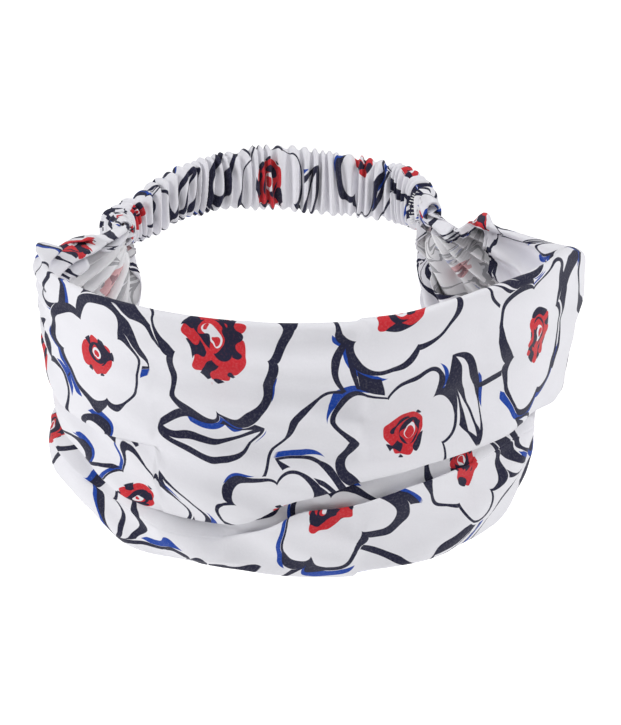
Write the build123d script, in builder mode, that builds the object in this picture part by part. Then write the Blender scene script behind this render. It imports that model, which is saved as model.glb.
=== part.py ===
"""Wide cotton headband: a folded front panel gathered into an elasticated nape band.

Millimetres. +X is to the right of someone facing the front panel, +Y runs from the
front panel to the nape band, and +Z points to the crown of the head. The origin is in
the middle of the head opening, level with the panel's top edge at its centre front.
"""

from math import cos, radians, sin
import os

from build123d import *

# --- the loop in plan ---------------------------------------------------------------
HALF_WIDTH = 85.0            # half the breadth of the worn loop
FRONT_Y = -70.0              # the panel's centre front
SEAM_X = 53.0                # the two end seams, left and right of the middle
SEAM_Y = 32.0                # the mouths of the nape casing, on the band's tilt axis
SEAM_Z = 5.0
BACK_Y = 72.0                # the middle of the nape band

# --- the gathered ends --------------------------------------------------------------
TONGUE_HEIGHT = 12.0         # each end is drawn in to a rounded tongue this high
TONGUE_PLY = 3.0             # and this thick, which goes into the casing's mouth
TONGUE_START_Y = 23.0        # the tongue is straight from here to its rounded tip

# Half of the panel's middle line: x, y, top edge, height, thickness, inward lean.
PANEL_SECTIONS = [
    (0.0, FRONT_Y, 0.0, 81.0, 3.2, 2.0),
    (31.0, -66.0, 0.0, 80.0, 3.2, 2.0),
    (58.5, -53.0, 0.0, 78.0, 3.2, 4.0),
    (77.0, -32.5, 0.0, 73.5, 3.4, 6.0),
    (HALF_WIDTH, -9.0, -0.5, 66.0, 4.0, 7.0),
    (80.0, 7.0, 2.0, 56.0, 5.0, 4.0),
    (68.5, 14.5, 5.0, 46.0, 5.0, 2.0),
    (58.0, 18.5, 9.0, 30.0, 4.0, 0.0),
    (SEAM_X, TONGUE_START_Y, SEAM_Z + TONGUE_HEIGHT / 2, TONGUE_HEIGHT, TONGUE_PLY, 0.0),
]

# --- the nape band ------------------------------------------------------------------
CASING_HEIGHT = 22.0
CASING_DEPTH = 6.0
CASING_WALL = 0.7
CASING_CENTRE_Z = SEAM_Z
BAND_STRAIGHT = 12.0         # straight length at each end of the band
BAND_CORNER = 20.0           # plan radius where each end turns into the nape arc
ELASTIC_HEIGHT = 18.0
ELASTIC_PLY = 1.2
ELASTIC_INSET = 7.0          # the elastic starts this far inside each mouth

# --- sewing thread ------------------------------------------------------------------
THREAD = 0.4
STITCH = 2.4
PITCH = 4.0                  # from one stitch to the next along a row
THREAD_GAP = 0.25            # thread lies this far off the cloth it is sewn through
HEM_GAP = 0.8                # and this far behind the panel, on its turned-in edges
HEM_FROM_FOLD = 22.0         # each hem row lies this far inside the panel's folded edge
HEM_END_SHARE = 0.2          # share of the panel at each end that the hem rows stop short
END_STITCH = 1.6
END_ROWS = 6                 # stitches up each end seam
END_ROW_PITCH = 3.0
END_ROW_Y = SEAM_Y + 2.5
TACK_ROWS = 9                # short close stitches that hold each end of the elastic
TACK_PITCH = 1.6
TACK_Y = SEAM_Y + 9.0


def across_plane(edge, share, lean=0.0):
    """A plane across a plan curve. Its x axis points outwards and its y axis up."""
    along = edge.tangent_at(share)
    outward = Vector(along.Y, -along.X, 0)
    across = outward * cos(radians(lean)) - Vector(0, 0, sin(radians(lean)))
    up = outward * sin(radians(lean)) + Vector(0, 0, cos(radians(lean)))
    return Plane(origin=edge.position_at(share), x_dir=across, z_dir=across.cross(up))


def mirrored_sections():
    """The panel's sections from the left end, round the front, to the right end."""
    left = [(-x, *rest) for x, *rest in reversed(PANEL_SECTIONS)]
    return left + PANEL_SECTIONS[1:]


def make_panel_line():
    """The panel's middle line in plan, which meets both tongues along Y."""
    points = [(x, y) for x, y, *_ in mirrored_sections()]
    with BuildLine() as line:
        Spline(*points, tangents=[(0, -1), (0, 1)], tangent_scalars=[1, 1])
    return line.edges()[0]


def make_front_panel(edge):
    """The folded cotton panel, with a straight tongue and a round tip at each end."""
    with BuildPart() as panel:
        for x, y, top, height, ply, lean in mirrored_sections():
            share = edge.param_at_point((x, y, 0))
            with BuildSketch(across_plane(edge, share, lean)):
                with Locations((0, top - height / 2)):
                    RectangleRounded(ply, height, 0.45 * ply)
        loft()
        tongue = SEAM_Y - TONGUE_START_Y
        for side in (-1, 1):
            with Locations((side * SEAM_X, TONGUE_START_Y + tongue / 2, SEAM_Z)):
                Box(TONGUE_PLY, tongue, TONGUE_HEIGHT)
            with Locations((side * SEAM_X, SEAM_Y, SEAM_Z)):
                Cylinder(TONGUE_HEIGHT / 2, TONGUE_PLY, rotation=(0, 90, 0))
    panel.part.label = "front_panel"
    return panel.part


def make_hem_stitching(edge, label, height_of_row):
    """One row of stitches along the inner face of the panel, behind a folded edge."""
    sections = mirrored_sections()
    shares = [edge.param_at_point((x, y, 0)) for x, y, *_ in sections]
    count = int(edge.length * (1 - 2 * HEM_END_SHARE) / PITCH)
    places = []
    for number in range(count):
        share = HEM_END_SHARE + (1 - 2 * HEM_END_SHARE) * (number + 0.5) / count
        after = next(i for i, value in enumerate(shares) if value >= share)
        part = (share - shares[after - 1]) / (shares[after] - shares[after - 1])
        pairs = zip(sections[after - 1][2:], sections[after][2:])
        top, height, ply, lean = [a + (b - a) * part for a, b in pairs]
        plane = across_plane(edge, share, lean)
        inset = -ply / 2 - HEM_GAP - THREAD / 2
        places.append(plane * Pos(inset, height_of_row(top, height), 0))
    with BuildPart() as stitching:
        with Locations(*places):
            Box(THREAD, THREAD, STITCH)
    stitching.part.label = label
    return stitching.part


def make_gathering_thread(side, label):
    """Two turns of thread that draw one end of the panel in to its tongue."""
    with BuildPart() as thread:
        for turn in (1, 2):
            y = TONGUE_START_Y + turn * (SEAM_Y - TONGUE_START_Y) / 3
            with BuildSketch(Plane.XZ.offset(-y)):
                with Locations((side * SEAM_X, SEAM_Z)):
                    room = 2 * THREAD_GAP
                    inner = (TONGUE_PLY + room, TONGUE_HEIGHT + room)
                    RectangleRounded(inner[0] + 2 * THREAD, inner[1] + 2 * THREAD, 0.9)
                    RectangleRounded(*inner, 0.5, mode=Mode.SUBTRACT)
            extrude(amount=THREAD / 2, both=True)
    thread.part.label = label
    return thread.part


def make_band_line(inset=0.0):
    """The nape band's plan line from right to left, starting inset from each mouth."""
    straight_end = SEAM_Y + BAND_STRAIGHT
    depth = BACK_Y - straight_end
    reach = SEAM_X - BAND_CORNER
    nape = (reach ** 2 + depth ** 2 - BAND_CORNER ** 2) / (2 * (depth - BAND_CORNER))
    away = Vector(reach, straight_end - (BACK_Y - nape)).normalized()
    join = Vector(0, BACK_Y - nape) + away * nape
    with BuildLine() as line:
        Line((SEAM_X, SEAM_Y + inset), (SEAM_X, straight_end))
        RadiusArc((SEAM_X, straight_end), (join.X, join.Y), -BAND_CORNER)
        RadiusArc((join.X, join.Y), (-join.X, join.Y), -nape)
        RadiusArc((-join.X, join.Y), (-SEAM_X, straight_end), -BAND_CORNER)
        Line((-SEAM_X, straight_end), (-SEAM_X, SEAM_Y + inset))
    return line.wires()[0]


def make_back_casing():
    """The cotton tube over the elastic, open at both mouths where the panel goes in."""
    with BuildPart() as casing:
        path = make_band_line()
        with BuildSketch(across_plane(path, 0)):
            with Locations((0, CASING_CENTRE_Z)):
                RectangleRounded(CASING_DEPTH, CASING_HEIGHT, 0.3 * CASING_DEPTH)
                RectangleRounded(
                    CASING_DEPTH - 2 * CASING_WALL,
                    CASING_HEIGHT - 2 * CASING_WALL,
                    0.2 * CASING_DEPTH,
                    mode=Mode.SUBTRACT,
                )
        sweep(path=path)
    casing.part.label = "back_casing"
    return casing.part


def make_elastic():
    """The flat woven elastic inside the casing."""
    with BuildPart() as elastic:
        path = make_band_line(ELASTIC_INSET)
        with BuildSketch(across_plane(path, 0)):
            with Locations((0, CASING_CENTRE_Z)):
                Rectangle(ELASTIC_PLY, ELASTIC_HEIGHT)
        sweep(path=path)
    elastic.part.label = "elastic"
    return elastic.part


def make_casing_seam():
    """The row of stitches that closes the casing, low on its outer face."""
    path = make_band_line()
    count = int(path.length / PITCH) - 2
    drop = CASING_CENTRE_Z - CASING_HEIGHT / 4
    outset = CASING_DEPTH / 2 + THREAD_GAP + THREAD / 2
    places = []
    for number in range(count):
        share = (number + 1.5) / (count + 2)
        places.append(across_plane(path, share) * Pos(outset, drop, 0))
    with BuildPart() as seam:
        with Locations(*places):
            Box(THREAD, THREAD, STITCH)
    seam.part.label = "casing_seam_stitching"
    return seam.part


def make_end_stitching(side, label):
    """Upright rows of stitches, outside and inside, that close one mouth on its tongue."""
    offset = CASING_DEPTH / 2 + THREAD_GAP + THREAD / 2
    with BuildPart() as stitching:
        for row in range(END_ROWS):
            height = CASING_CENTRE_Z + (row - (END_ROWS - 1) / 2) * END_ROW_PITCH
            for face in (-1, 1):
                with Locations((side * SEAM_X + face * offset, END_ROW_Y, height)):
                    Box(THREAD, THREAD, END_STITCH)
    stitching.part.label = label
    return stitching.part


def make_elastic_tack(side, label):
    """The bar of close stitches through the casing that holds one end of the elastic."""
    offset = CASING_DEPTH / 2 + THREAD_GAP + THREAD / 2
    with BuildPart() as tack:
        for row in range(TACK_ROWS):
            height = CASING_CENTRE_Z + (row - (TACK_ROWS - 1) / 2) * TACK_PITCH
            with Locations((side * (SEAM_X - offset), TACK_Y, height)):
                Box(THREAD, END_STITCH, THREAD)
    tack.part.label = label
    return tack.part


# --- build and write every piece ----------------------------------------------------
panel_line = make_panel_line()
pieces = [
    make_front_panel(panel_line),
    make_hem_stitching(panel_line, "top_hem_stitching", lambda top, height: top - HEM_FROM_FOLD),
    make_hem_stitching(
        panel_line, "bottom_hem_stitching", lambda top, height: top - height + HEM_FROM_FOLD
    ),
    make_back_casing(),
    make_elastic(),
    make_casing_seam(),
]
for side, hand in ((-1, "left"), (1, "right")):
    pieces.append(make_gathering_thread(side, f"{hand}_gathering_thread"))
    pieces.append(make_end_stitching(side, f"{hand}_end_stitching"))
    pieces.append(make_elastic_tack(side, f"{hand}_elastic_tack"))

os.makedirs("parts", exist_ok=True)
for piece in pieces:
    export_step(piece, f"parts/{piece.label}.step")
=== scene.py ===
"""Wide elasticated headband in its worn shape: the cloth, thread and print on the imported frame.

Blender works in metres. The cloth is shaped in millimetres in the same frame: +X to the
right of someone facing the front, +Y from the front panel to the nape band, +Z up.
Along the panel, s is the distance round the loop from the centre front (left is minus),
o is the distance outwards from the panel's middle line and h is the height.
"""
import math

import bpy
import numpy as np
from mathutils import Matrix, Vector


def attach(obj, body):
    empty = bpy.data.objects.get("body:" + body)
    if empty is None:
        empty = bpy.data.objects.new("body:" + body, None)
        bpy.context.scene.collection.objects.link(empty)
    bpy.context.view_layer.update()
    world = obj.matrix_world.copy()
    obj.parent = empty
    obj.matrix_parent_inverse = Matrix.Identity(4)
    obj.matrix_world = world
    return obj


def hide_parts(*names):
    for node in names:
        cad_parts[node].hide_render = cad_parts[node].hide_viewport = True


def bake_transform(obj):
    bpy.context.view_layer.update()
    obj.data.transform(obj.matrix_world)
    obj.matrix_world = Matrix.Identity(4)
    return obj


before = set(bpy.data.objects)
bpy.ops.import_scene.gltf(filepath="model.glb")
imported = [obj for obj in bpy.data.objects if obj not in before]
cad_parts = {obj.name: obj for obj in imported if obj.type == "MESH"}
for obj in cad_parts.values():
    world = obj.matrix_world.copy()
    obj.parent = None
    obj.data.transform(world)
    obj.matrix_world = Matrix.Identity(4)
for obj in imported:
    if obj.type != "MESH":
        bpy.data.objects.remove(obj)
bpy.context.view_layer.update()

MM = 0.001

# --- driving sizes, as in the CAD ---------------------------------------------------
SEAM_X, SEAM_Y = 53.0, 32.0      # the casing's mouths, on the tilt axis
BACK_Y = 72.0                    # the middle of the nape band
BAND_STRAIGHT, BAND_CORNER = 12.0, 20.0
CLOTH = 0.32                     # thickness of the cotton
PANEL_WIDTH = 205.0              # the panel's cut width, edge to edge
STITCH, PITCH = 2.4, 4.0         # a stitch of the long rows, and from one to the next

# Half of the panel's line in plan, from the centre front to inside the casing's mouth.
PLAN = [
    (0.0, -70.0),
    (31.0, -66.0),
    (58.5, -53.0),
    (77.0, -32.5),
    (85.0, -9.0),
    (81.0, 6.5),
    (69.5, 15.5),
    (58.5, 22.0),
    (53.5, 29.0),
    (SEAM_X, 37.0),
]


def curve_through(keys, at):
    """Values at the places `at` of a smooth curve through the (place, value) keys."""
    place, value = np.array(keys, float).T
    step = np.diff(place)
    rise = np.diff(value) / step
    slope = np.empty_like(value)
    slope[1:-1] = (rise[:-1] * step[1:] + rise[1:] * step[:-1]) / (step[:-1] + step[1:])
    slope[0], slope[-1] = rise[0], rise[-1]
    at = np.clip(at, place[0], place[-1])
    k = np.clip(np.searchsorted(place, at) - 1, 0, len(step) - 1)
    t = (at - place[k]) / step[k]
    ends = value[k] * (1 + 2 * t) * (1 - t) ** 2 + value[k + 1] * (3 - 2 * t) * t**2
    pulls = slope[k] * t * (1 - t) ** 2 - slope[k + 1] * (1 - t) * t**2
    return ends + pulls * step[k]


def smooth_step(low, high, at):
    """0 before low, 1 after high, with an even ease between them."""
    t = np.clip((at - low) / (high - low), 0, 1)
    return t * t * (3 - 2 * t)


def ripple(x, y, size, seed, count=7):
    """Soft random waves between about -1 and 1, of the wavelength `size` = (along x, y)."""
    rng = np.random.default_rng(seed)
    total = np.zeros(np.broadcast(x, y).shape)
    for angle, phase, stretch in zip(
        rng.uniform(0, math.tau, count), rng.uniform(0, math.tau, count), rng.uniform(0.6, 1.5, count)
    ):
        wave = (x / size[0] * math.cos(angle) + y / size[1] * math.sin(angle)) * stretch
        total += np.sin(math.tau * wave + phase)
    return total / count**0.5 / 1.4


# --- the panel's line in plan -------------------------------------------------------
LINE_STEPS = 4000


def plan_line():
    """The plan line at even distances: (distance from the centre front, x, y)."""
    half = np.array(PLAN)
    points = np.concatenate([half[:0:-1] * (-1, 1), half])
    along = np.concatenate([[0], np.cumsum(np.hypot(*np.diff(points, axis=0).T))])
    fine = np.linspace(0, along[-1], LINE_STEPS)
    x = curve_through(np.stack([along, points[:, 0]], 1), fine)
    y = curve_through(np.stack([along, points[:, 1]], 1), fine)
    length = np.concatenate([[0], np.cumsum(np.hypot(np.diff(x), np.diff(y)))])
    return length - length[-1] / 2, x, y


LINE_S, LINE_X, LINE_Y = plan_line()
END_S = LINE_S[-1]


def on_plan(s):
    """Plan position and outward direction at the distance s."""
    x, y = np.interp(s, LINE_S, LINE_X), np.interp(s, LINE_S, LINE_Y)
    ds = 1.0
    dx = np.interp(s + ds, LINE_S, LINE_X) - np.interp(s - ds, LINE_S, LINE_X)
    dy = np.interp(s + ds, LINE_S, LINE_Y) - np.interp(s - ds, LINE_S, LINE_Y)
    norm = np.hypot(dx, dy)
    return x, y, dy / norm, -dx / norm


# --- the folds of the panel, as heights along it ------------------------------------
TOP_FOLD = [
    (-181, 4.6), (-174, 4), (-168, 3), (-161, 2.5), (-154, 2), (-147, 3.5), (-142, 1.5), (-138, 1),
    (-132, 4.5), (-126, 4.5), (-116, 2.5), (-105, 2), (-93, 1.5), (-72, 0.5), (-40, -2), (-10, -3),
    (15, -2.5), (31, 0), (46, 2), (61, 3.5), (80, 4), (95, 2), (110, -2.5), (125, -4), (136, -3),
    (144, -1), (149, 1.5), (154, -2), (158, -4), (164, -3), (170, 2.4), (176, 4.6), (181, 4.6),
]
BOTTOM_FOLD = [
    (-181, -2.8), (-175, -4), (-171, -13), (-164, -30), (-154, -45), (-135, -58), (-110, -66),
    (-95, -73), (-79, -78.5), (-60, -80.5), (-40, -81.5), (-20, -85), (-8, -85.5), (10, -83.5),
    (31, -82.5), (46, -82), (61, -78.5), (80, -70.5), (100, -63), (120, -58), (135, -54), (150, -48),
    (160, -41), (167, -30), (171, -15), (175, -4), (181, -2.8),
]
# How far along the loop the bottom lies from the top of the same threads, in the fans.
BOTTOM_SHIFT = [
    (-181, 0), (-172, -1), (-164, -5), (-150, -6), (-125, -3), (-100, 0), (100, 0), (125, 3),
    (150, 7), (164, 6), (171, 2), (181, 0),
]
# The widths of the two turned-in edges.
TOP_TURN_IN = [
    (-181, 1), (-164, 1), (-157, 1.5), (-150, 2), (-141, 4), (-131, 9), (-120, 16), (-90, 27),
    (90, 27), (125, 25), (138, 19), (144, 10), (148, 3), (156, 1.5), (181, 3),
]
BOTTOM_TURN_IN = [
    (-181, 3), (-170, 6), (-160, 11), (-140, 20), (-110, 27), (110, 27), (140, 22), (160, 16),
    (170, 12), (175, 5), (181, 3),
]

# The main tuck: the lip of the upper layer, how far the cloth goes up behind it, and the
# ridge of the lower layer, which forms a shallow pocket in the middle of the front.
LIP = [
    (-130, -46), (-110, -49), (-97, -53), (-82, -58), (-62, -63), (-50, -65), (-43, -65.5),
    (-31, -62.5), (-18, -57), (-6, -53.5), (7, -51), (17, -49.5), (40, -47), (60, -45.5),
    (80, -46.5), (110, -46), (140, -30),
]
LIP_LAP = [(-150, 0), (-120, 4), (-100, 9), (-70, 10), (0, 13), (50, 12), (90, 11), (115, 8), (150, 0)]
RIDGE_DROP = [
    (-60, 0), (-40, 0.5), (-30, 2), (-18, 4.5), (-6, 6.5), (7, 6.2), (20, 5), (32, 2.5),
    (45, 0.5), (60, 0),
]
POCKET = [(-45, 0), (-30, 0.6), (-15, 1), (15, 1), (28, 0.6), (42, 0)]
# A second, smaller tuck on the left, above the first.
SMALL_LIP = [
    (-150, -26), (-110, -37), (-99, -40), (-78, -41.5), (-62, -41.5), (-45, -36), (-25, -26),
    (60, -22), (150, -16),
]
SMALL_LAP = [(-140, 0), (-118, 3), (-100, 6), (-85, 5), (-68, 2), (-55, 0)]


def tuck(lip, lap, out, back):
    """Control points (o, h) of a fold of cloth that hangs over the cloth below it.

    lip is the fold's lower edge, lap is how far the cloth goes up behind it, out is the
    upper layer's distance outwards and back that of the layer behind. With no lap, the
    points run straight down.
    """
    open_ = np.clip(lap / 5, 0, 1)
    behind = out + (back - out) * open_
    return [
        (out, lip + 6),
        (out + 0.5 * open_, lip + 1.6),
        (out + 0.3 * open_, lip - 0.5 + 0.5 * (1 - open_)),
        (out - 0.9 * open_, lip - 0.4 - 0.6 * (1 - open_)),
        (out - 1.4 * open_, lip + 1.2 * open_ - 1.6 * (1 - open_)),
        (behind + 0.8 * open_, lip + 0.55 * lap - 2.2 * (1 - open_)),
        (behind + 0.4 * open_, lip + lap - 2.8 * (1 - open_)),
        (behind - 0.4 * open_, lip + lap - 3.4 * (1 - open_)),
        (behind - 0.2 * open_, lip + 0.5 * lap - 4.0 * (1 - open_)),
        (behind, lip - 1.5 - 3.1 * (1 - open_)),
    ]


def panel_sections(s):
    """Control points of the panel's cross-sections (o and h, points by s), and both folds' heights."""
    top, bottom = curve_through(TOP_FOLD, s), curve_through(BOTTOM_FOLD, s)
    height = top - bottom
    gathered = smooth_step(95, 150, np.abs(s))
    neck = smooth_step(150, 172, np.abs(s))
    lip = np.minimum(curve_through(LIP, s), top - 0.5 * height)
    lap = curve_through(LIP_LAP, s)
    small_lip = np.minimum(curve_through(SMALL_LIP, s), top - 0.3 * height)
    small_lap = np.maximum(curve_through(SMALL_LAP, s), 0)
    drop = np.maximum(curve_through(RIDGE_DROP, s), 0)
    pocket = np.clip(curve_through(POCKET, s), 0, 1)
    top_in, bottom_in = curve_through(TOP_TURN_IN, s), curve_through(BOTTOM_TURN_IN, s)

    # On the right the upper layer stands well out over the lower one. On the left it lies close.
    loft = 1.0 + 0.25 * ripple(s, 0 * s, (60, 60), 3)
    right_side = smooth_step(76, 100, s) * (1 - smooth_step(115, 150, s))
    left_side = smooth_step(70, 100, -s) * (1 - smooth_step(120, 150, -s))
    slim = 1 - 0.6 * smooth_step(138, 160, np.abs(s))
    inner = slim * (-2.2 - 2.5 * gathered * (1 - neck)) - 0.7 * neck
    out = slim * (1.2 + (2.4 * loft + 3.4 * right_side - 2.6 * left_side) * (1 - neck))
    lip_out = out + 0.9 - 0.6 * right_side - 1.0 * left_side
    low = slim * (1.0 + (2.0 * loft - 4.4 * right_side + 0.6 * left_side) * (1 - neck))

    low_inner = inner - 2.0 * right_side
    upper = [
        (inner - 0.8 * gathered, top - 1.8 - top_in),
        (inner, top - 1.8 - 0.66 * top_in),
        (inner, top - 1.8 - 0.33 * top_in),
        (0.75 * inner, top - 1.5),
        (0.35 * inner, top + 0.5),
        (0.3 * out, top + 0.7),
        (0.75 * out, top - 0.9),
        (out, top - 0.06 * height - 1),
        (out + 0.6, top + 0.5 * (small_lip - top)),
    ]
    small = tuck(small_lip, small_lap, out + 0.6, out - 1.6)
    middle = [(0.5 * (out + 0.6 + lip_out), small_lip + 0.5 * (lip - small_lip))]
    main = tuck(lip, lap, lip_out, np.minimum(low, lip_out) - 2.2)
    ridge = lip - drop - 3.0 * (1 - pocket)
    lower = [
        (low - 2.0 * pocket, ridge - 2.0 - 3.5 * pocket),
        (low - 1.2 * pocket + 0.3, ridge - 2.4 - 3.6 * pocket),
        (low - 0.5 * pocket + 0.5, ridge - 2.6 - 1.0 * pocket),
        (low + 0.4 - 1.6 * left_side, ridge - 3.0 + 2.6 * pocket),
        (low + 1.0 - 1.2 * left_side, ridge - 3.4 + 2.0 * pocket),
        (low + 1.2, bottom + 0.66 * (ridge - 4 - bottom)),
        (low + 1.0, bottom + 0.33 * (ridge - 4 - bottom)),
        (0.8 * low + 0.4, bottom + 2.2),
        (0.35 * low, bottom - 0.2),
        (0.3 * low_inner, bottom - 0.3),
        (0.7 * low_inner, bottom + 1.6),
        (low_inner, bottom + 1.9 + 0.33 * bottom_in),
        (low_inner, bottom + 1.9 + 0.66 * bottom_in),
        (low_inner - 0.8 * gathered, bottom + 1.9 + bottom_in),
    ]
    points = upper + small + middle + main + lower
    o = np.array([np.broadcast_to(p[0], s.shape) for p in points], float)
    h = np.array([np.broadcast_to(p[1], s.shape) for p in points], float)

    # Where neither tuck is open, the points between the two folds run evenly down.
    first, last = 7, len(points) - 6
    share = np.linspace(0, 1, last - first)[:, None]
    even = h[first] + (bottom + 2.2 - h[first]) * share
    tucked = np.clip(np.maximum(lap, small_lap) / 3, 0, 1)
    h[first:last] = even + (h[first:last] - even) * tucked
    return o, h, top, bottom


def soften(rows, rounds=3):
    """Cuts the corners of lines of control points, keeping their two ends."""
    for _ in range(rounds):
        near = 0.75 * rows[:-1] + 0.25 * rows[1:]
        far = 0.25 * rows[:-1] + 0.75 * rows[1:]
        inside = np.stack([near, far], 1).reshape(-1, *rows.shape[1:])
        rows = np.concatenate([rows[:1], inside[1:-1], rows[-1:]])
    return rows


def running_length(x, y):
    """Distance along lines of points, from the first row to each row."""
    step = np.hypot(np.diff(x, axis=0), np.diff(y, axis=0))
    return np.concatenate([np.zeros((1, x.shape[1])), np.cumsum(step, axis=0)])


# --- the gathered ends ---------------------------------------------------------------
LEFT_PLEATS, RIGHT_PLEATS = 17, 11
LEFT_SEED, RIGHT_SEED = 4, 9
FAN_S, FAN_Z = 180.0, 5.0        # the place inside the mouth that the pleats run out from
# The pleats' depth at distances from that place.
PLEAT_DEPTH = [(0, 1.6), (8, 2.0), (20, 3.4), (36, 4.2), (52, 3.0), (72, 0.9), (90, 0), (400, 0)]
# The panel's lean in degrees: its lower edge is nearer to the middle of the loop.
LEAN = [
    (-182, 0), (-150, 1), (-135, 3), (-108, 4.5), (-90, 4), (-60, 3), (0, 2), (48, 3.5),
    (62, 5.5), (76, 8), (92, 8.5), (108, 8.5), (135, 4), (150, 1), (182, 0),
]


def pleats_at(s, h, count, seed):
    """Uneven pleats that run out from the neck like the ribs of a fan, as a distance outwards."""
    rng = np.random.default_rng(seed)
    edges = np.cumsum(rng.uniform(0.6, 1.4, 2 * count + 1))
    edges = (edges - edges[0]) / (edges[-1] - edges[0])
    signs = np.where(np.arange(2 * count + 1) % 2, 1, -1)
    shallower = (RIGHT_PLEATS / count) ** 0.6     # the more pleats there are
    heights = rng.uniform(0.55, 1.0, 2 * count + 1) * signs * shallower
    along, down = FAN_S - np.abs(s), FAN_Z - h
    angle = np.arctan2(down, along) / (0.5 * math.pi)
    wave = curve_through(np.stack([edges * 1.1 - 0.1, heights], 1), angle)
    wave = np.sign(wave) * np.abs(wave) ** 0.8
    return curve_through(PLEAT_DEPTH, np.hypot(along, down)) * wave


def panel_surface(columns, rows):
    """The panel's cloth: points (rows, columns, 3) and cloth coordinates (rows, columns, 2)."""
    # The columns are closer together towards the two ends, where the pleats are.
    q = np.linspace(-1, 1, columns)
    s = END_S * (q + 0.16 * np.sin(math.pi * q))
    o, h, top, bottom = panel_sections(s)

    # The top fold is half way between two of the control points.
    rough = running_length(o, h)
    top_fold = 0.5 * (rough[4] + rough[5]) / rough[-1]

    # The rows are closer together where the cloth bends.
    o, h = soften(o), soften(h)
    length = running_length(o, h)
    angle = np.unwrap(np.arctan2(np.diff(h, axis=0), np.diff(o, axis=0)), axis=0)
    bend = np.abs(np.diff(angle, axis=0, prepend=angle[:1]))
    effort = np.cumsum(np.diff(length, axis=0) + 2.4 * bend, axis=0)
    effort = np.concatenate([np.zeros((1, columns)), effort])
    even = np.linspace(0, 1, rows)
    pick = [
        [np.interp(even * effort[-1, i], effort[:, i], line[:, i]) for i in range(columns)]
        for line in (o, h, length)
    ]
    o, h, across = (np.array(lines).T for lines in pick)

    share = np.clip((top - h) / (top - bottom), 0, 1)
    place = s + curve_through(BOTTOM_SHIFT, s) * share
    x, y, out_x, out_y = on_plan(place)
    left_pleats = pleats_at(s + 0 * h, h, LEFT_PLEATS, LEFT_SEED)
    right_pleats = pleats_at(s + 0 * h, h, RIGHT_PLEATS, RIGHT_SEED)
    pleats = np.where(s < 0, left_pleats, right_pleats)
    lean = np.tan(np.radians(curve_through(LEAN, s))) * h
    soft = 0.5 * ripple(place, h, (46, 30), 21) + 0.22 * ripple(place, h, (17, 9), 22)
    away = o + lean + pleats + soft
    points = np.stack([x + out_x * away, y + out_y * away, h], -1)

    # On the flat cloth, the gathered ends are as wide as the middle.
    steps = np.linalg.norm(np.diff(points, axis=1), axis=-1)
    run = np.concatenate([np.zeros((rows, 1)), np.cumsum(steps, axis=1)], axis=1)
    run -= run[:, columns // 2][:, None]
    gathered = smooth_step(95, 165, np.abs(s))
    spread = 1 + (PANEL_WIDTH / length[-1] - 1) * gathered
    width = (across - top_fold * length[-1]) * spread
    return points, np.stack([run, width], -1)


def cloth_mesh(name, points, cloth):
    """A mesh of quads over a grid of points in millimetres, with its cloth coordinates as UVs.

    Where cloth has one row more than points, the grid is a tube: its first row of points is
    its seam, and the cloth coordinates differ on the two sides of it.
    """
    rows, columns = cloth.shape[:2]
    number = np.arange(rows * columns).reshape(rows, columns)
    corners = np.stack([number[:-1, :-1], number[1:, :-1], number[1:, 1:], number[:-1, 1:]], -1)
    quads = corners.reshape(-1, 4) % (len(points) * columns)
    mesh = bpy.data.meshes.new(name)
    mesh.from_pydata((points.reshape(-1, 3) * MM).tolist(), [], quads.tolist())
    uv = mesh.uv_layers.new(name="cloth")
    flat = cloth.reshape(-1, 2)
    uv.data.foreach_set("uv", flat[corners.ravel()].astype(np.float32).ravel() * 0.01)
    mesh.polygons.foreach_set("use_smooth", [True] * len(mesh.polygons))
    obj = bpy.data.objects.new(name, mesh)
    bpy.context.collection.objects.link(obj)
    return obj


def thicken(obj, thickness, wrong_side):
    """Gives a sheet its thickness inwards, with the wrong side's material on the inner face."""
    obj.data.materials.append(wrong_side)
    solid = obj.modifiers.new("thickness", "SOLIDIFY")
    solid.thickness = thickness * MM
    solid.offset = 0
    solid.material_offset = 1
    return obj


def finished(obj):
    """Applies an object's modifiers, which leaves its final mesh."""
    graph = bpy.context.evaluated_depsgraph_get()
    mesh = bpy.data.meshes.new_from_object(obj.evaluated_get(graph))
    obj.modifiers.clear()
    rough, obj.data = obj.data, mesh
    bpy.data.meshes.remove(rough)


# --- the gathered casing over the elastic ------------------------------------------------
RUFFLES = 46
CASING_FLAT = (0.058, 0.260)     # the casing's strip before it was gathered, in metres
GATHER = 1.75                    # flat cloth to each millimetre of the gathered casing
PRINT_START = 112.0              # where on the print the casing's strip begins, across it
# Half the casing's height, and the height of its middle, at distances from each mouth.
LEFT_HALF = [
    (0, 4.4), (9, 5.1), (20, 5.6), (30, 6.3), (37, 7.0), (43, 7.8), (50, 8.4), (66, 8.9),
    (76, 9.7), (84, 10.6),
]
RIGHT_HALF = [(0, 4.4), (4, 5.2), (9, 6.4), (20, 8.8), (28, 9.5), (38, 9.8), (48, 10.4), (84, 10.6)]
LEFT_MIDDLE = [
    (0, 0.8), (8, -0.8), (18, -3.0), (28, -3.8), (37, -3.4), (43, -1.6), (49, 0.8), (55, 2.8),
    (61, 3.9), (67, 5.2), (81, 5.6),
]
RIGHT_MIDDLE = [
    (0, 0.5), (8, -0.6), (18, -0.8), (24, 0.2), (30, 0.8), (36, 1.2), (46, 2.2), (56, 2.8),
    (66, 4.2), (74, 5.3), (81, 5.6),
]
CAP = 8.0                        # the plain, ungathered end of the casing
SLEEVE = 5.0                     # the cloth that is turned inside at each mouth
MOUTH_Y = 29.0

# The points round the tube, from the middle of its outer face over the top.
ROUND = 48
TOP_ROW, BOTTOM_ROW = 12, 36
SEAM_ROW = 43                    # low on the outer face
SPACING = 0.20                   # from one ring of points to the next


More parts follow.
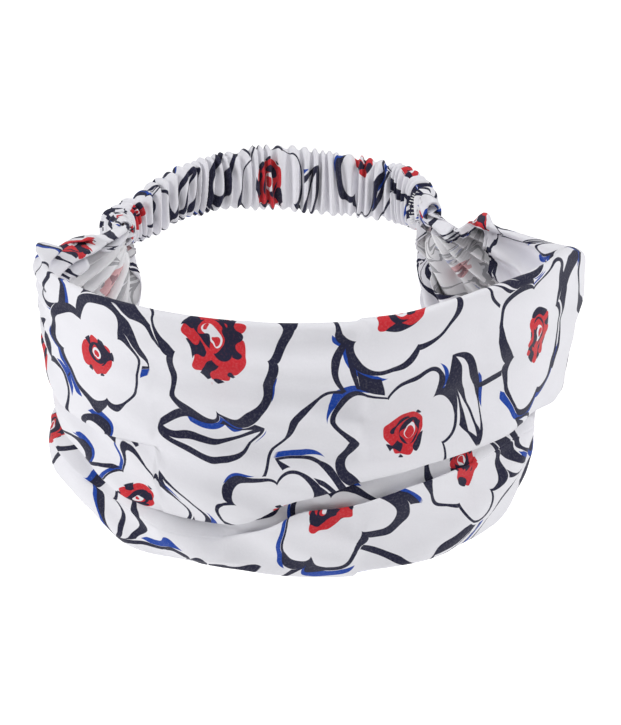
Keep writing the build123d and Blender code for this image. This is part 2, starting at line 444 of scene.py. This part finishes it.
def band_line(spacing):
    """The casing's plan line from the left mouth to the right one, at even distances."""
    straight_end = SEAM_Y + BAND_STRAIGHT
    depth, reach = BACK_Y - straight_end, SEAM_X - BAND_CORNER
    nape = (reach**2 + depth**2 - BAND_CORNER**2) / (2 * (depth - BAND_CORNER))
    turn = math.atan2(straight_end - (BACK_Y - nape), reach)
    corner = np.linspace(0, turn, 60)
    arc = np.linspace(turn, math.pi / 2, 120)
    x = np.concatenate([[SEAM_X], reach + BAND_CORNER * np.cos(corner), nape * np.cos(arc[1:])])
    y = np.concatenate(
        [[MOUTH_Y], straight_end + BAND_CORNER * np.sin(corner), BACK_Y - nape + nape * np.sin(arc[1:])]
    )
    x, y = np.concatenate([-x, x[-2::-1]]), np.concatenate([y, y[-2::-1]])
    length = np.concatenate([[0], np.cumsum(np.hypot(np.diff(x), np.diff(y)))])
    along = np.linspace(0, length[-1], int(length[-1] / spacing) + 1)
    return along, np.interp(along, length, x), np.interp(along, length, y)


def casing_surface(round_count, spacing):
    """The casing's tube: closed rings of points, from inside one mouth to inside the other."""
    along, x, y = band_line(spacing)
    total = along[-1]
    dx, dy = np.gradient(x), np.gradient(y)
    norm = np.hypot(dx, dy)
    out_x, out_y = -dy / norm, dx / norm
    turned = np.arange(SLEEVE, 0.0, -spacing)
    place = np.concatenate([turned, along, total - turned[::-1]])
    sign = np.concatenate([-np.ones(len(turned)), np.ones(len(along)), -np.ones(len(turned))])
    from_end = np.minimum(place, total - place)
    angle = np.linspace(0, math.tau, round_count, endpoint=False)[:, None]
    cos, sin = np.cos(angle), np.sin(angle)
    round_end = 1 - smooth_step(1, 16, from_end)
    flat_out = np.sign(cos) * np.abs(cos) ** (0.55 + 0.35 * round_end)
    flat_up = np.sign(sin) * np.abs(sin) ** (0.75 + 0.2 * round_end)

    rng = np.random.default_rng(12)
    edges = np.cumsum(rng.uniform(0.35, 1.9, 2 * RUFFLES + 1))
    edges = CAP + (total - 2 * CAP) * (edges - edges[0]) / (edges[-1] - edges[0])
    heights = rng.uniform(0.3, 1.0, 2 * RUFFLES + 1) * np.where(np.arange(2 * RUFFLES + 1) % 2, 1, -1)
    drift = 1.5 * ripple(place[None, :], 11 * sin, (17, 26), 31) + 0.5 * cos
    wave = curve_through(np.stack([edges, heights], 1), place[None, :] + drift)
    puff = 1.8 * np.sign(wave) * np.abs(wave) ** 0.8
    calm = smooth_step(CAP - 5, CAP + 6, from_end)
    puff = puff * calm

    rim = np.sqrt(np.clip(1 - (1 - np.clip(from_end / 2.6, 0, 1)) ** 2, 0, 1))
    inside = sign < 0
    left_half, right_half = curve_through(LEFT_HALF, place), curve_through(RIGHT_HALF, total - place)
    on_left = place < total / 2
    full = np.where(on_left, left_half, right_half)
    deep = 3.0 - 0.5 * (1 - smooth_step(2, 16, from_end))
    pinch = smooth_step(0, 3.5, from_end)
    mouth = LEFT_HALF[0][1]
    half_out = np.where(inside, deep - 0.4 * rim - 0.5 * pinch, deep + 0.7 * rim)
    half_up = np.where(inside, mouth - 0.5 - 0.4 * rim - 0.5 * pinch, full - 0.5 + 0.7 * rim)
    waver = 0.7 * ripple(place, 0 * place, (60, 60), 33)
    out = flat_out * (half_out + puff * np.abs(cos) ** 0.4 * (sign > 0))
    up = flat_up * (half_up + 0.55 * puff * (sign > 0)) + waver * calm
    left, right = curve_through(LEFT_MIDDLE, place), curve_through(RIGHT_MIDDLE, total - place)
    centre = np.where(on_left, left, right)
    px, py = np.interp(place, along, x), np.interp(place, along, y)
    ox, oy = np.interp(place, along, out_x), np.interp(place, along, out_y)
    points = np.stack([px + ox * out, py + oy * out, centre + up], -1)

    # The turned-in cloth runs on past each mouth.
    cloth_along = np.where(inside, -place, place)
    last = slice(len(turned) + len(along), None)
    cloth_along[last] = 2 * total - place[last]
    strip = PRINT_START + np.linspace(0, CASING_FLAT[0] / MM, round_count + 1)
    width = strip[:, None] + 0 * place
    cloth = np.stack([np.broadcast_to(cloth_along * GATHER, width.shape), width], -1)
    return points, cloth


def thread(name, lines, material, thickness=0.4):
    """Round thread along lines of (points, directions away from the cloth), with tapered ends."""
    sides = 8
    turn = np.linspace(0, math.tau, sides, endpoint=False)[None, :, None]
    points, faces, first = [], [], 0
    for path, away in lines:
        count = len(path)
        along = np.gradient(path, axis=0)
        along /= np.linalg.norm(along, axis=1)[:, None]
        across = np.cross(along, away)
        from_tip = np.minimum(np.arange(count), np.arange(count)[::-1]) + 0.4
        taper = np.sqrt(np.clip(from_tip, 0.2, 1))
        radius = 0.5 * thickness * taper[:, None, None]
        ring = path[:, None] + radius * (away[:, None] * np.sin(turn) + across[:, None] * np.cos(turn))
        points.append(ring.reshape(-1, 3))
        for row in range(count - 1):
            for side in range(sides):
                a, b = first + row * sides + side, first + row * sides + (side + 1) % sides
                faces.append((a, a + sides, b + sides, b))
        faces.append([first + side for side in range(sides)])
        faces.append([first + (count - 1) * sides + side for side in reversed(range(sides))])
        first += count * sides
    mesh = bpy.data.meshes.new(name)
    mesh.from_pydata((np.concatenate(points) * MM).tolist(), [], faces)
    mesh.polygons.foreach_set("use_smooth", [True] * len(mesh.polygons))
    mesh.materials.append(material)
    obj = bpy.data.objects.new(name, mesh)
    bpy.context.collection.objects.link(obj)
    return obj


def stitches(path, away, length, pitch, rise=0.22):
    """Separate stitches, which dip into the cloth at both ends, along a path on the cloth."""
    run = np.concatenate([[0], np.cumsum(np.linalg.norm(np.diff(path, axis=0), axis=1))])
    count = max(int(run[-1] / pitch), 1)
    part = np.linspace(0, 1, 8)
    lift = (CLOTH / 2 + rise * (np.sin(math.pi * part) ** 0.6 * 1.8 - 0.9))[:, None]
    lines = []
    for number in range(count):
        d = 0.5 * (run[-1] - count * pitch + pitch - length) + number * pitch + part * length
        centre = np.stack([np.interp(d, run, path[:, k]) for k in range(3)], 1)
        normal = np.stack([np.interp(d, run, away[:, k]) for k in range(3)], 1)
        normal /= np.linalg.norm(normal, axis=1)[:, None]
        lines.append((centre + normal * lift, normal))
    return lines


def surface_normals(points, closed=False):
    """Directions away from the right side of a grid of cloth points."""
    if closed:
        down = np.gradient(np.concatenate([points[-1:], points, points[:1]]), axis=0)[1:-1]
    else:
        down = np.gradient(points, axis=0)
    normal = np.cross(down, np.gradient(points, axis=1))
    return normal / np.maximum(np.linalg.norm(normal, axis=-1), 1e-9)[..., None]


# --- materials ---------------------------------------------------------------------------
class Nodes:
    """Short calls for building a material's nodes, in the order they feed each other."""

    def __init__(self, name):
        self.material = bpy.data.materials.new(name)
        self.material.use_nodes = True
        self.tree = self.material.node_tree
        self.shader = self.tree.nodes["Principled BSDF"]

    def add(self, kind, inputs=(), **settings):
        node = self.tree.nodes.new(kind)
        for key, value in settings.items():
            setattr(node, key, value)
        for key, value in dict(inputs).items():
            self.feed(node.inputs[key], value)
        return node

    def feed(self, socket, value):
        if isinstance(value, bpy.types.NodeSocket):
            self.tree.links.new(value, socket)
        else:
            socket.default_value = value

    def math(self, operation, a, b=0.0, c=0.0):
        return self.add("ShaderNodeMath", {0: a, 1: b, 2: c}, operation=operation).outputs[0]

    def vector(self, operation, a, b=(0, 0, 0)):
        return self.add("ShaderNodeVectorMath", {0: a, 1: b}, operation=operation).outputs[0]

    def scaled(self, a, factor):
        node = self.add("ShaderNodeVectorMath", {0: a, "Scale": factor}, operation="SCALE")
        return node.outputs[0]

    def noise(self, at, scale, detail=2.0, rough=0.5):
        inputs = {"Vector": at, "Scale": scale, "Detail": detail, "Roughness": rough}
        return self.add("ShaderNodeTexNoise", inputs, noise_dimensions="2D")

    def below(self, value, limit, soft=0.12):
        """1 where value is under limit, with an edge `soft` wide."""
        over = self.math("SUBTRACT", limit, value)
        scaled = self.math("MULTIPLY_ADD", over, 1 / soft, 0.5)
        clamp = self.add("ShaderNodeClamp", {"Value": scaled})
        return clamp.outputs[0]

    def either(self, *masks):
        total = masks[0]
        for mask in masks[1:]:
            total = self.math("MAXIMUM", total, mask)
        return total

    def both(self, *masks):
        total = masks[0]
        for mask in masks[1:]:
            total = self.math("MULTIPLY", total, mask)
        return total

    def mix(self, factor, a, b):
        node = self.add("ShaderNodeMix", {0: factor}, data_type="RGBA")
        self.feed(node.inputs[6], a)
        self.feed(node.inputs[7], b)
        return node.outputs[2]


def flower_cells(n, at, cell, spread, location, angle):
    """One flower or leaf per cell: local x, y in millimetres, the distance to the cell's
    border and three random numbers."""
    inputs = {"Vector": at, "Location": location, "Rotation": (0, 0, angle)}
    moved = n.add("ShaderNodeMapping", inputs)
    inputs = {"Vector": moved.outputs[0], "Scale": 1 / cell, "Randomness": spread}
    cells = n.add("ShaderNodeTexVoronoi", inputs, voronoi_dimensions="2D", feature="F1")
    walls = n.add("ShaderNodeTexVoronoi", inputs, voronoi_dimensions="2D", feature="DISTANCE_TO_EDGE")
    local = n.vector("SUBTRACT", moved.outputs[0], cells.outputs["Position"])
    xy = n.add("ShaderNodeSeparateXYZ", {0: local})
    chance = n.add("ShaderNodeSeparateColor", {0: cells.outputs["Color"]})
    border = n.math("MULTIPLY", walls.outputs["Distance"], cell)
    return xy.outputs[0], xy.outputs[1], border, chance.outputs


NAVY = (0.0105, 0.0110, 0.037, 1)
RED = (0.59, 0.019, 0.030, 1)
BLUE = (0.002, 0.048, 0.345, 1)


def print_pattern(n):
    """Loose ink flowers with red hearts, leaves, stems and blue strokes: masks on the cloth."""
    cloth = n.add("ShaderNodeUVMap", uv_map="cloth").outputs[0]
    mm = n.scaled(cloth, 100)
    sway = n.vector("SUBTRACT", n.noise(mm, 0.026, 0.0).outputs["Color"], (0.5, 0.5, 0.5))
    shake = n.vector("SUBTRACT", n.noise(mm, 0.11, 0.0).outputs["Color"], (0.5, 0.5, 0.5))
    hand = n.vector("ADD", n.vector("ADD", mm, n.scaled(sway, 16)), n.scaled(shake, 2.4))
    swell = n.noise(mm, 0.06, 0.0).outputs["Fac"]
    width = n.math("MULTIPLY_ADD", swell, 7.5, -1.6)
    width = n.math("MINIMUM", n.math("MAXIMUM", width, 1.2), 3.4)

    # flowers: a lobed outline, which flattens where it meets its neighbour's
    x, y, border, chance = flower_cells(n, hand, 49, 0.35, (3, 11, 0), 0.3)
    radius = n.math("SQRT", n.math("ADD", n.math("MULTIPLY", x, x), n.math("MULTIPLY", y, y)))
    turn = n.math("ADD", n.math("ARCTAN2", y, x), n.math("MULTIPLY", chance[0], math.tau))
    petals = n.math("FLOOR", n.math("MULTIPLY_ADD", chance[1], 1.7, 4.8))
    half = n.math("MULTIPLY", n.math("MULTIPLY", turn, petals), 0.5)
    lobe = n.math("POWER", n.math("ABSOLUTE", n.math("COSINE", half)), 0.75)
    size = n.math("MULTIPLY_ADD", chance[2], 3.5, 16.5)
    outline = n.math("MULTIPLY", size, n.math("MULTIPLY_ADD", lobe, 0.25, 0.78))
    gap = n.math("SUBTRACT", radius, outline)
    wall = n.math("SUBTRACT", 2.2, border)
    gap = n.math("SMOOTH_MAX", gap, wall, 3.0)
    stroke = n.below(n.math("ABSOLUTE", gap), n.math("MULTIPLY", width, 0.5))

    # the flower's heart: red with dark blobs, a white spot and a loose dark ring
    fine = n.noise(mm, 0.24, 0.0).outputs["Fac"]
    ragged = n.math("MULTIPLY_ADD", n.math("SUBTRACT", fine, 0.5), 3.0, radius)
    red = n.below(ragged, n.math("MULTIPLY_ADD", chance[0], 1.6, 5.9))
    spot = n.math("SUBTRACT", ragged, n.math("MULTIPLY", n.math("SINE", turn), 1.3))
    clear = n.math("ABSOLUTE", n.math("SUBTRACT", spot, 1.1))
    clear = n.below(clear, n.math("MULTIPLY_ADD", fine, 1.6, -0.2))
    ring = n.math("ABSOLUTE", n.math("SUBTRACT", spot, 2.9))
    scribble = n.below(ring, n.math("MULTIPLY_ADD", fine, 3.4, -0.95))
    blobs = n.both(n.below(0.56, fine, 0.02), n.below(3.6, radius), n.below(radius, 7.0))
    heart = n.either(scribble, blobs)

    # leaves, where there is no flower, some of them dark on one side of the vein
    u, v, _, luck = flower_cells(n, hand, 36, 0.15, (-7, 23, 0), -0.5)
    lean = n.math("MULTIPLY", luck[0], math.tau)
    cos, sin = n.math("COSINE", lean), n.math("SINE", lean)
    a = n.math("ADD", n.math("MULTIPLY", u, cos), n.math("MULTIPLY", v, sin))
    b = n.math("SUBTRACT", n.math("MULTIPLY", v, cos), n.math("MULTIPLY", u, sin))
    square = n.math("MULTIPLY", a, a)
    b = n.math("MULTIPLY_ADD", square, 0.012, b)
    taper = n.math("SUBTRACT", 1.0, n.math("MULTIPLY", square, 1 / 205))
    side = n.math("MULTIPLY", taper, n.math("MULTIPLY_ADD", luck[1], 1.6, 5.4))
    off = n.math("SUBTRACT", n.math("ABSOLUTE", b), side)
    leaf = n.below(off, 0.0)
    reach = n.below(-0.12, taper)
    leaf_line = n.below(n.math("ABSOLUTE", off), n.math("MULTIPLY", width, 0.42))
    bend = n.math("MULTIPLY_ADD", n.math("SINE", n.math("MULTIPLY", a, 0.2)), 0.8, b)
    leaf_vein = n.both(n.below(n.math("ABSOLUTE", bend), n.math("MULTIPLY", width, 0.3)), leaf)
    one_side = n.below(bend, n.math("MULTIPLY_ADD", a, 0.12, -1.2))
    filled = n.both(n.below(0.6, luck[2], 0.02), leaf, one_side)
    open_ground = n.below(1.6, gap)
    leaves = n.both(n.either(leaf_line, leaf_vein, filled), reach, open_ground)
    in_leaf = n.both(leaf, reach)

    # stems wander between them
    across = n.add("ShaderNodeSeparateXYZ", {0: hand})
    drift = n.math("MULTIPLY", n.noise(mm, 0.016, 0.0).outputs["Fac"], 1.5)
    lane = n.math("MULTIPLY_ADD", across.outputs[1], 1 / 64, drift)
    lane = n.math("MULTIPLY_ADD", across.outputs[0], 1 / 150, lane)
    stem = n.math("ABSOLUTE", n.math("SUBTRACT", n.math("FRACT", lane), 0.5))
    stem = n.below(n.math("MULTIPLY", stem, 55), n.math("MULTIPLY", width, 0.55))
    stem = n.both(stem, open_ground, n.math("SUBTRACT", 1.0, in_leaf))

    navy = n.either(stroke, heart, leaves, stem)

    # blue strokes lie beside some of the dark ones
    beside = n.noise(mm, 0.034, 0.0).outputs["Fac"]
    brush = n.math("MINIMUM", n.math("MULTIPLY_ADD", beside, 16.0, -9.2), 1.15)
    blue = n.below(n.math("ABSOLUTE", n.math("SUBTRACT", gap, 1.9)), brush)
    other = n.math("MINIMUM", n.math("MULTIPLY_ADD", beside, -14.0, 6.2), 1.15)
    blue_leaf = n.below(n.math("ABSOLUTE", n.math("SUBTRACT", off, 1.7)), other)
    blue_leaf = n.both(blue_leaf, reach, open_ground, n.below(0.1, b))
    blue = n.either(blue, blue_leaf)
    return mm, navy, n.both(red, n.math("SUBTRACT", 1.0, clear)), blue


def weave(n, mm, strength, distance):
    """Fine plain weave and slight slubs as bump."""
    xy = n.add("ShaderNodeSeparateXYZ", {0: mm})
    warp = n.math("SINE", n.math("MULTIPLY", xy.outputs[0], math.tau / 0.42))
    weft = n.math("SINE", n.math("MULTIPLY", xy.outputs[1], math.tau / 0.42))
    cloth = n.math("MULTIPLY", warp, weft)
    slub = n.noise(mm, 1.3, 3.0, 0.65).outputs["Fac"]
    height = n.math("MULTIPLY_ADD", cloth, 0.5, n.math("MULTIPLY", slub, 1.6))
    bump = n.add("ShaderNodeBump", {"Strength": strength, "Distance": distance * MM, "Height": height})
    n.feed(n.shader.inputs["Normal"], bump.outputs[0])
    return slub


def cotton(name, faded_print_painted_bright):
    """Printed cotton, or its wrong side, where the print shows through faint and grey and the ground is
    painted lighter: painted light that brightens the inner face.
    """
    n = Nodes(name)
    mm, navy, red, blue = print_pattern(n)
    slub = weave(n, mm, 0.35, 0.12)
    tone = n.noise(mm, 0.02, 2.0).outputs["Fac"]
    # On the wrong side the ground and shade colours are painted lighter than the same cloth's right
    # side: painted light.
    ground = (0.93, 0.925, 0.94, 1) if faded_print_painted_bright else (0.82, 0.815, 0.86, 1)
    shade = (0.87, 0.87, 0.89, 1) if faded_print_painted_bright else (0.77, 0.765, 0.81, 1)
    base = n.mix(n.math("MULTIPLY", tone, n.math("MULTIPLY", slub, 1.6)), ground, shade)
    show = 0.5 if faded_print_painted_bright else 1.0
    uneven = n.math("MULTIPLY_ADD", n.math("SUBTRACT", slub, 0.5), 0.22, show)
    base = n.mix(n.math("MULTIPLY", blue, uneven), base, BLUE)
    base = n.mix(n.math("MULTIPLY", red, uneven), base, RED)
    base = n.mix(n.math("MULTIPLY", navy, uneven), base, NAVY)
    n.feed(n.shader.inputs["Base Color"], base)
    rough = n.math("MULTIPLY_ADD", slub, 0.14, 0.72)
    n.feed(n.shader.inputs["Roughness"], rough)
    n.shader.inputs["Specular IOR Level"].default_value = 0.25
    n.shader.inputs["Sheen Weight"].default_value = 0.12
    n.shader.inputs["Sheen Roughness"].default_value = 0.5
    return n.material


def thread_material():
    """White polyester thread with a fine twist."""
    n = Nodes("sewing_thread_white")
    at = n.add("ShaderNodeTexCoord").outputs["Object"]
    twist = n.add("ShaderNodeTexWave", {"Vector": at, "Scale": 900.0, "Distortion": 2.0})
    twist = twist.outputs["Fac"]
    # The twist's grooves are painted greyer than its ridges: painted shade on the white thread.
    tint = n.mix(twist, (0.80, 0.80, 0.81, 1), (0.92, 0.92, 0.92, 1))
    n.feed(n.shader.inputs["Base Color"], tint)
    bump = n.add("ShaderNodeBump", {"Strength": 0.5, "Distance": 0.00006, "Height": twist})
    n.feed(n.shader.inputs["Normal"], bump.outputs[0])
    n.shader.inputs["Roughness"].default_value = 0.48
    n.shader.inputs["Sheen Weight"].default_value = 0.1
    return n.material


def webbing_material():
    """White woven elastic: fine ribs across the band and rows of rubber along it."""
    n = Nodes("elastic_webbing_white")
    at = n.add("ShaderNodeTexCoord").outputs["Object"]
    ribs = n.add("ShaderNodeTexWave", {"Vector": at, "Scale": 220.0, "Distortion": 0.6})
    rows = n.add("ShaderNodeTexWave", {"Vector": at, "Scale": 130.0}, bands_direction="Z")
    height = n.math("ADD", ribs.outputs["Fac"], rows.outputs["Fac"])
    # The low parts of the ribs and rows are painted darker: painted shade on the white elastic.
    tint = n.mix(n.math("MULTIPLY", height, 0.5), (0.62, 0.62, 0.63, 1), (0.86, 0.86, 0.86, 1))
    n.feed(n.shader.inputs["Base Color"], tint)
    bump = n.add("ShaderNodeBump", {"Strength": 0.6, "Distance": 0.0003, "Height": height})
    n.feed(n.shader.inputs["Normal"], bump.outputs[0])
    n.shader.inputs["Roughness"].default_value = 0.7
    return n.material


# --- the pieces --------------------------------------------------------------------------
cotton_front = cotton("printed_cotton", faded_print_painted_bright=False)
# The wrong side's cloth is painted lighter than the right side's: painted light on the inner face and
# the gathered ends.
cotton_back = cotton("printed_cotton_wrong_side", faded_print_painted_bright=True)
white_thread = thread_material()
webbing = webbing_material()

skin, cloth = panel_surface(columns=232, rows=204)
panel = cloth_mesh("front_panel_cloth", skin, cloth)
panel.data.materials.append(cotton_front)
finished(thicken(panel, CLOTH, cotton_back))
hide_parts("front_panel")
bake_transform(panel)

# The rows that hold the two turned-in edges: how far they are from the raw edges, and how far
# they go from the middle of the panel.
HEM_FROM_EDGE, HEM_REACH = 3.5, 98
away = surface_normals(skin)
width = cloth[:, :, 1]
middle = np.abs(cloth[0, :, 0]) < HEM_REACH
hems = (("top_hem_stitching", width - width[:1]), ("bottom_hem_stitching", width[-1:] - width))
for name, from_edge in hems:
    row = np.argmin(np.abs(from_edge - HEM_FROM_EDGE), axis=0)
    line = np.stack([skin[r, c] for c, r in enumerate(row)])[middle]
    side = np.stack([away[r, c] for c, r in enumerate(row)])[middle]
    hem = thread(name + "_thread", stitches(line, side, STITCH, PITCH), white_thread)
    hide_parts(name)
    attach(hem, "panel")

# Two turns of thread draw each end of the panel together, inside the casing's mouth.
TURNS_Y, TURN_Z = (31.2, 32.4), 0.9
TURN_HALF = (3.1, 4.2)           # half of a turn's width and height
turn = np.linspace(0, math.tau, 40)
for side, label in ((-1, "left"), (1, "right")):
    lines = []
    for y in TURNS_Y:
        x, z = side * SEAM_X + TURN_HALF[0] * np.cos(turn), TURN_Z + TURN_HALF[1] * np.sin(turn)
        outwards = np.stack([np.cos(turn), 0 * turn, np.sin(turn)], 1)
        lines.append((np.stack([x, y + 0 * turn, z], 1), outwards))
    gather = thread(label + "_gathering_thread_turns", lines, white_thread)
    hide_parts(label + "_gathering_thread")
    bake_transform(gather)

tube, cloth = casing_surface(ROUND, SPACING)
casing = cloth_mesh("nape_casing_cloth", np.roll(tube, -SEAM_ROW, axis=0), cloth)
casing.data.materials.append(cotton_front)
finished(thicken(casing, CLOTH, cotton_back))
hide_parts("back_casing")
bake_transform(casing)

# The casing's own seam, low on the outer face. Places along the tube are in rings of points,
# counted inwards from the mouth.
SEAM_RING, END_RING, TACK_RINGS, ELASTIC_RING = 35, 24, (52, 64), 45
sleeve = int(SLEEVE / SPACING)
away = surface_normals(tube, closed=True)
span = slice(sleeve + SEAM_RING, -sleeve - SEAM_RING)
seam_lines = stitches(tube[SEAM_ROW, span], away[SEAM_ROW, span], STITCH, PITCH)
seam = thread("casing_seam_thread", seam_lines, white_thread)
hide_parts("casing_seam_stitching")
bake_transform(seam)

# The stitches that close each mouth, and the tack that holds each end of the elastic.
END_STITCH, TACK_STITCH, SMALL_PITCH = 1.7, 2.2, 2.3
outer_face, inner_face = np.arange(-7, 8), np.arange(17, 32)
for label, at, inward in (("left", sleeve, 1), ("right", len(tube[0]) - 1 - sleeve, -1)):
    lines = []
    column = at + inward * END_RING
    for rows in (outer_face, inner_face):
        lines += stitches(tube[rows, column], away[rows, column], END_STITCH, SMALL_PITCH)
    ends = thread(label + "_end_thread", lines, white_thread)
    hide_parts(label + "_end_stitching")
    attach(ends, "end_seams")
    lines = []
    columns = slice(at + inward * TACK_RINGS[0], at + inward * TACK_RINGS[1], inward)
    for rows in (outer_face, inner_face):
        for row in rows[2:-2]:
            lines += stitches(tube[row, columns], away[row, columns], TACK_STITCH, SMALL_PITCH)
    tack = thread(label + "_tack_thread", lines, white_thread)
    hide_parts(label + "_elastic_tack")
    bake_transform(tack)

# The elastic, whose ends narrow where the casing's do: its width, its thickness and the room
# above and below it.
ELASTIC, ELASTIC_PLY, ELASTIC_ROOM = 18.0, 1.2, 1.4
span = slice(sleeve + ELASTIC_RING, -sleeve - ELASTIC_RING, 4)
centre = 0.5 * (tube[TOP_ROW] + tube[BOTTOM_ROW])[span]
half = 0.5 * (tube[TOP_ROW] - tube[BOTTOM_ROW])[span, 2]
reach = np.minimum(0.5 * ELASTIC, half - ELASTIC_ROOM)
upwards = np.stack([0 * reach, 0 * reach, reach], 1)
ribbon = centre + upwards * np.linspace(1, -1, 9)[:, None, None]
length = np.cumsum(np.concatenate([[0], np.linalg.norm(np.diff(centre, axis=0), axis=1)]))
ribbon_cloth = np.stack(np.broadcast_arrays(length, np.linspace(0, ELASTIC, 9)[:, None]), -1)
elastic = cloth_mesh("elastic_webbing", ribbon, ribbon_cloth)
elastic.data.materials.append(webbing)
finished(thicken(elastic, ELASTIC_PLY, webbing))
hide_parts("elastic")
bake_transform(elastic)

# --- camera, floor and light --------------------------------------------------------------
TARGET = Vector((0.0027, 0.0, -0.0393))
camera = bpy.data.objects.new("camera", bpy.data.cameras.new("camera"))
bpy.context.collection.objects.link(camera)
camera.location = TARGET + Vector((-0.1601, -0.6422, 0.2279))
camera.rotation_euler = (TARGET - camera.location).to_track_quat("-Z", "Y").to_euler()
camera.data.sensor_fit = "HORIZONTAL"
camera.data.sensor_width = 36
camera.data.lens = 123.5
camera.data.clip_start = 0.01
bpy.context.scene.camera = camera

LIGHT_AIM = Vector((0, 0, -0.03))


def area_light(name, place, size, watts):
    data = bpy.data.lights.new(name, "AREA")
    data.shape, data.size, data.energy = "DISK", size, watts
    light = bpy.data.objects.new(name, data)
    bpy.context.collection.objects.link(light)
    light.location = place
    light.rotation_euler = (LIGHT_AIM - Vector(place)).to_track_quat("-Z", "Y").to_euler()


area_light("key", (-1.1, -0.1, 0.5), 0.4, 6.2)
area_light("fill", (0.15, -0.6, 1.1), 0.6, 1.9)
area_light("side", (0.75, -0.3, 0.65), 0.3, 4.2)

# A soft even light from all round, behind which the camera sees a white backdrop.
world = bpy.data.worlds.new("studio")
world.use_nodes = True
sky, join = world.node_tree.nodes, world.node_tree.links.new
soft, backdrop = sky["Background"], sky.new("ShaderNodeBackground")
soft.inputs["Strength"].default_value = 0.45
for white in (soft, backdrop):
    white.inputs["Color"].default_value = (1, 1, 1, 1)
seen, mixed = sky.new("ShaderNodeLightPath"), sky.new("ShaderNodeMixShader")
join(seen.outputs["Is Camera Ray"], mixed.inputs[0])
join(soft.outputs[0], mixed.inputs[1])
join(backdrop.outputs[0], mixed.inputs[2])
join(mixed.outputs[0], sky["World Output"].inputs["Surface"])
bpy.context.scene.world = world
bpy.context.scene.view_settings.view_transform = "Standard"

# The floor glows a little, more to the camera, so that it meets the backdrop with no line.
bpy.ops.mesh.primitive_plane_add(size=8, location=(0, 0, -0.32))
floor = bpy.context.object
floor.name = "floor"
pale = Nodes("floor_pale")
pale.shader.inputs["Base Color"].default_value = (0.9, 0.9, 0.9, 1)
pale.shader.inputs["Roughness"].default_value = 0.9
pale.shader.inputs["Emission Color"].default_value = (1, 1, 1, 1)
seen = pale.add("ShaderNodeLightPath").outputs["Is Camera Ray"]
pale.feed(pale.shader.inputs["Emission Strength"], pale.math("MULTIPLY_ADD", seen, 0.4, 0.3))
floor.data.materials.append(pale.material)
